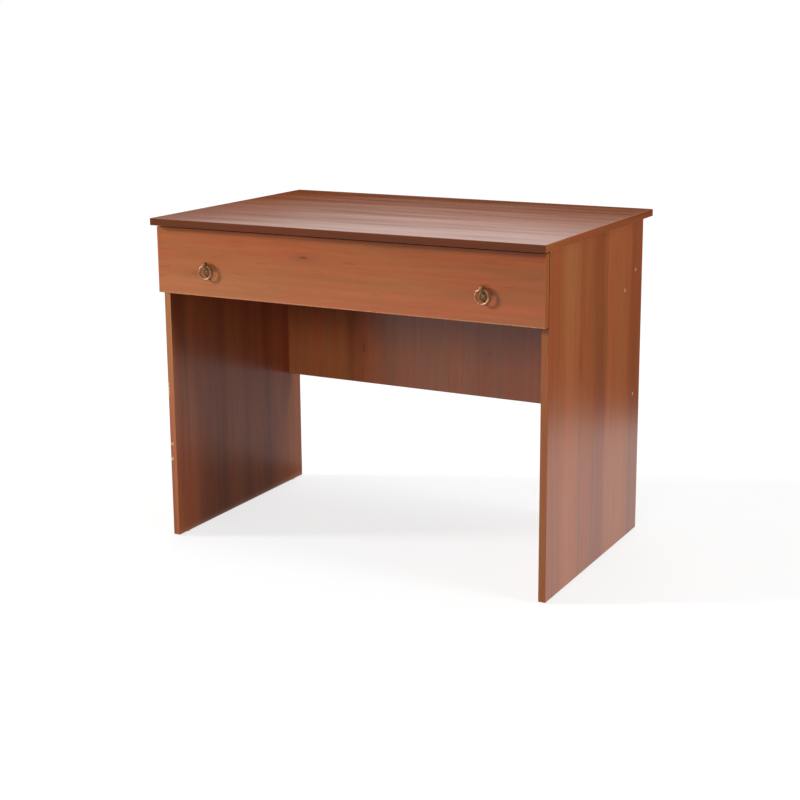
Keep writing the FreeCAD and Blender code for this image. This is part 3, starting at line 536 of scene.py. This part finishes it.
def mottled(name, dark, light, length, roughness, metallic, relief):
    material, g = material_graph(name)
    spots = g.noise(g.object_place(), 1 / length, *SPOT_NOISE)
    colour = g.mix(g.fit(spots, *SPOT_RANGE), srgb(*dark), srgb(*light))
    gloss = g.fit(spots, *SPOT_RANGE, roughness + SPOT_GLOSS, roughness - SPOT_GLOSS)
    normal = g.bump(spots, relief, SPOT_BUMP)
    g.surface(Base_Color=colour, Roughness=gloss, Metallic=metallic, Normal=normal)
    return material


def dress_hardware():
    for name, (*look, slot, nodes) in FINISHES.items():
        dress(mottled(name, *look), nodes)


# Studio


def link(obj):
    bpy.context.scene.collection.objects.link(obj)
    return obj


def stage_mesh(name, points, faces, material):
    mesh = bpy.data.meshes.new(name)
    mesh.from_pydata(points, [], faces)
    mesh.materials.append(material)
    obj = link(bpy.data.objects.new(name, mesh))
    return obj


def rectangle(half_width, front, back, height):
    """Points and face of a level rectangle."""
    corners = ((-half_width, front), (half_width, front), (half_width, back), (-half_width, back))
    return [(*corner, height) for corner in corners], [(0, 1, 2, 3)]


def ring(radius, middle, low, high):
    """Points and faces of an upright ring round a middle."""
    turns = [2 * math.pi * step / CARD_SIDES for step in range(CARD_SIDES)]
    circle = [(middle[0] + radius * math.cos(turn), middle[1] + radius * math.sin(turn)) for turn in turns]
    points = [(*place, height) for height in (low, high) for place in circle]
    following = [(step + 1) % CARD_SIDES for step in range(CARD_SIDES)]
    faces = [(step, after, after + CARD_SIDES, step + CARD_SIDES) for step, after in enumerate(following)]
    return points, faces


def build_floor():
    """Pale floor that looks white and keeps the shadow."""
    material, g = material_graph("pale_floor")
    shown = g.both_shaders(g.diffuse(FLOOR_SHOWN_TONE), g.emission(FLOOR_SHOWN_GLOW))
    mixed = g.mixed_shaders(g.shown_directly(), g.diffuse(FLOOR_TONE), shown)
    g.node("OutputMaterial", Surface=mixed)
    stage_mesh("floor", *rectangle(FLOOR_REACH, -FLOOR_REACH, FLOOR_REACH, 0.0), material)


def card(name, points, faces, level_of):
    """Card that only mirrored rays meet, with its level worked out from the place on it."""
    material, g = material_graph(name)
    g.node("OutputMaterial", Surface=g.emission(level_of(g)))
    obj = stage_mesh(name, points, faces, material)
    obj.visible_camera = False
    obj.visible_diffuse = False
    obj.visible_shadow = False
    obj.visible_transmission = False


def near_card_level(g):
    place = g.parts(g.object_place())
    lift = g.curve(place["X"], NEAR_CARD_LIFTS)
    return g.curve(g.add(place["Z"], g.times(place["Y"], NEAR_CARD_TILT), lift), NEAR_CARD_LEVELS)


def build_cards():
    """Cards set round the desk, as a photographer does to shape the glare on glossy boards."""
    near = ring(NEAR_CARD_RADIUS, NEAR_CARD_MIDDLE, NEAR_CARD_LOW, NEAR_CARD_HIGH)
    card("near_card", *near, near_card_level)
    far = ring(FAR_CARD_RADIUS, FAR_CARD_MIDDLE, 0.0, FAR_CARD_HIGH)
    card("far_card", *far, lambda g: FAR_CARD_LEVEL)
    # Floor cards: painted shade, dark under the desk and paler behind it, seen in reflections instead of the
    # shadowed floor
    for front, back, level in zip(FLOOR_CARD_ENDS, FLOOR_CARD_ENDS[1:], FLOOR_CARD_LEVELS):
        flat = rectangle(FLOOR_CARD_HALF, front, back, FLOOR_CARD_LIFT)
        card("painted_shade_floor_card", *flat, lambda g, level=level: level)


def build_world():
    """Light that is strongest at the horizon, seen as white."""
    world = bpy.data.worlds.new("studio")
    world.use_nodes = True
    bpy.context.scene.world = world
    g = Graph(world.node_tree)
    height = g.parts(g.node("TexCoord").outputs["Generated"])["Z"]
    low = g.math("POWER", g.fall(height, 0.0, 1.0), FALL_POWER)
    light = g.background(g.times(low, HORIZON_LEVEL))
    g.node("OutputWorld", Surface=g.mixed_shaders(g.shown_directly(), light, g.background(1.0)))


def build_lamps():
    for name, (direction, level, width) in LAMPS.items():
        data = bpy.data.lights.new(name, "SUN")
        data.energy = level * math.pi
        data.angle = math.radians(width)
        lamp = link(bpy.data.objects.new(name, data))
        lamp.visible_glossy = name == MIRRORED_LAMP
        lamp.rotation_euler = Vector(direction).to_track_quat("Z", "Y").to_euler()


def build_camera():
    yaw, pitch, roll = (math.radians(turn) for turn in (CAMERA_YAW, CAMERA_PITCH, CAMERA_ROLL))
    forward = Vector((-math.sin(yaw) * math.cos(pitch), math.cos(yaw) * math.cos(pitch), -math.sin(pitch)))
    level_right = Vector((math.cos(yaw), math.sin(yaw), 0))
    level_down = forward.cross(level_right)
    right = level_right * math.cos(roll) + level_down * math.sin(roll)
    up = level_right * math.sin(roll) - level_down * math.cos(roll)
    data = bpy.data.cameras.new("camera")
    data.sensor_width = SENSOR_WIDTH
    data.lens = SENSOR_WIDTH * FOCAL_PIXELS / IMAGE_SIDE
    data.shift_y = OPTICAL_ROW / IMAGE_SIDE - 0.5
    camera = link(bpy.data.objects.new("camera", data))
    turned = Matrix((right, up, -forward)).transposed()
    camera.matrix_world = Matrix.Translation(CAMERA_PLACE) @ turned.to_4x4()
    bpy.context.scene.camera = camera


dress_boards()
dress_hardware()
build_floor()
build_cards()
build_world()
build_lamps()
build_camera()
bpy.context.scene.view_settings.view_transform = "Standard"
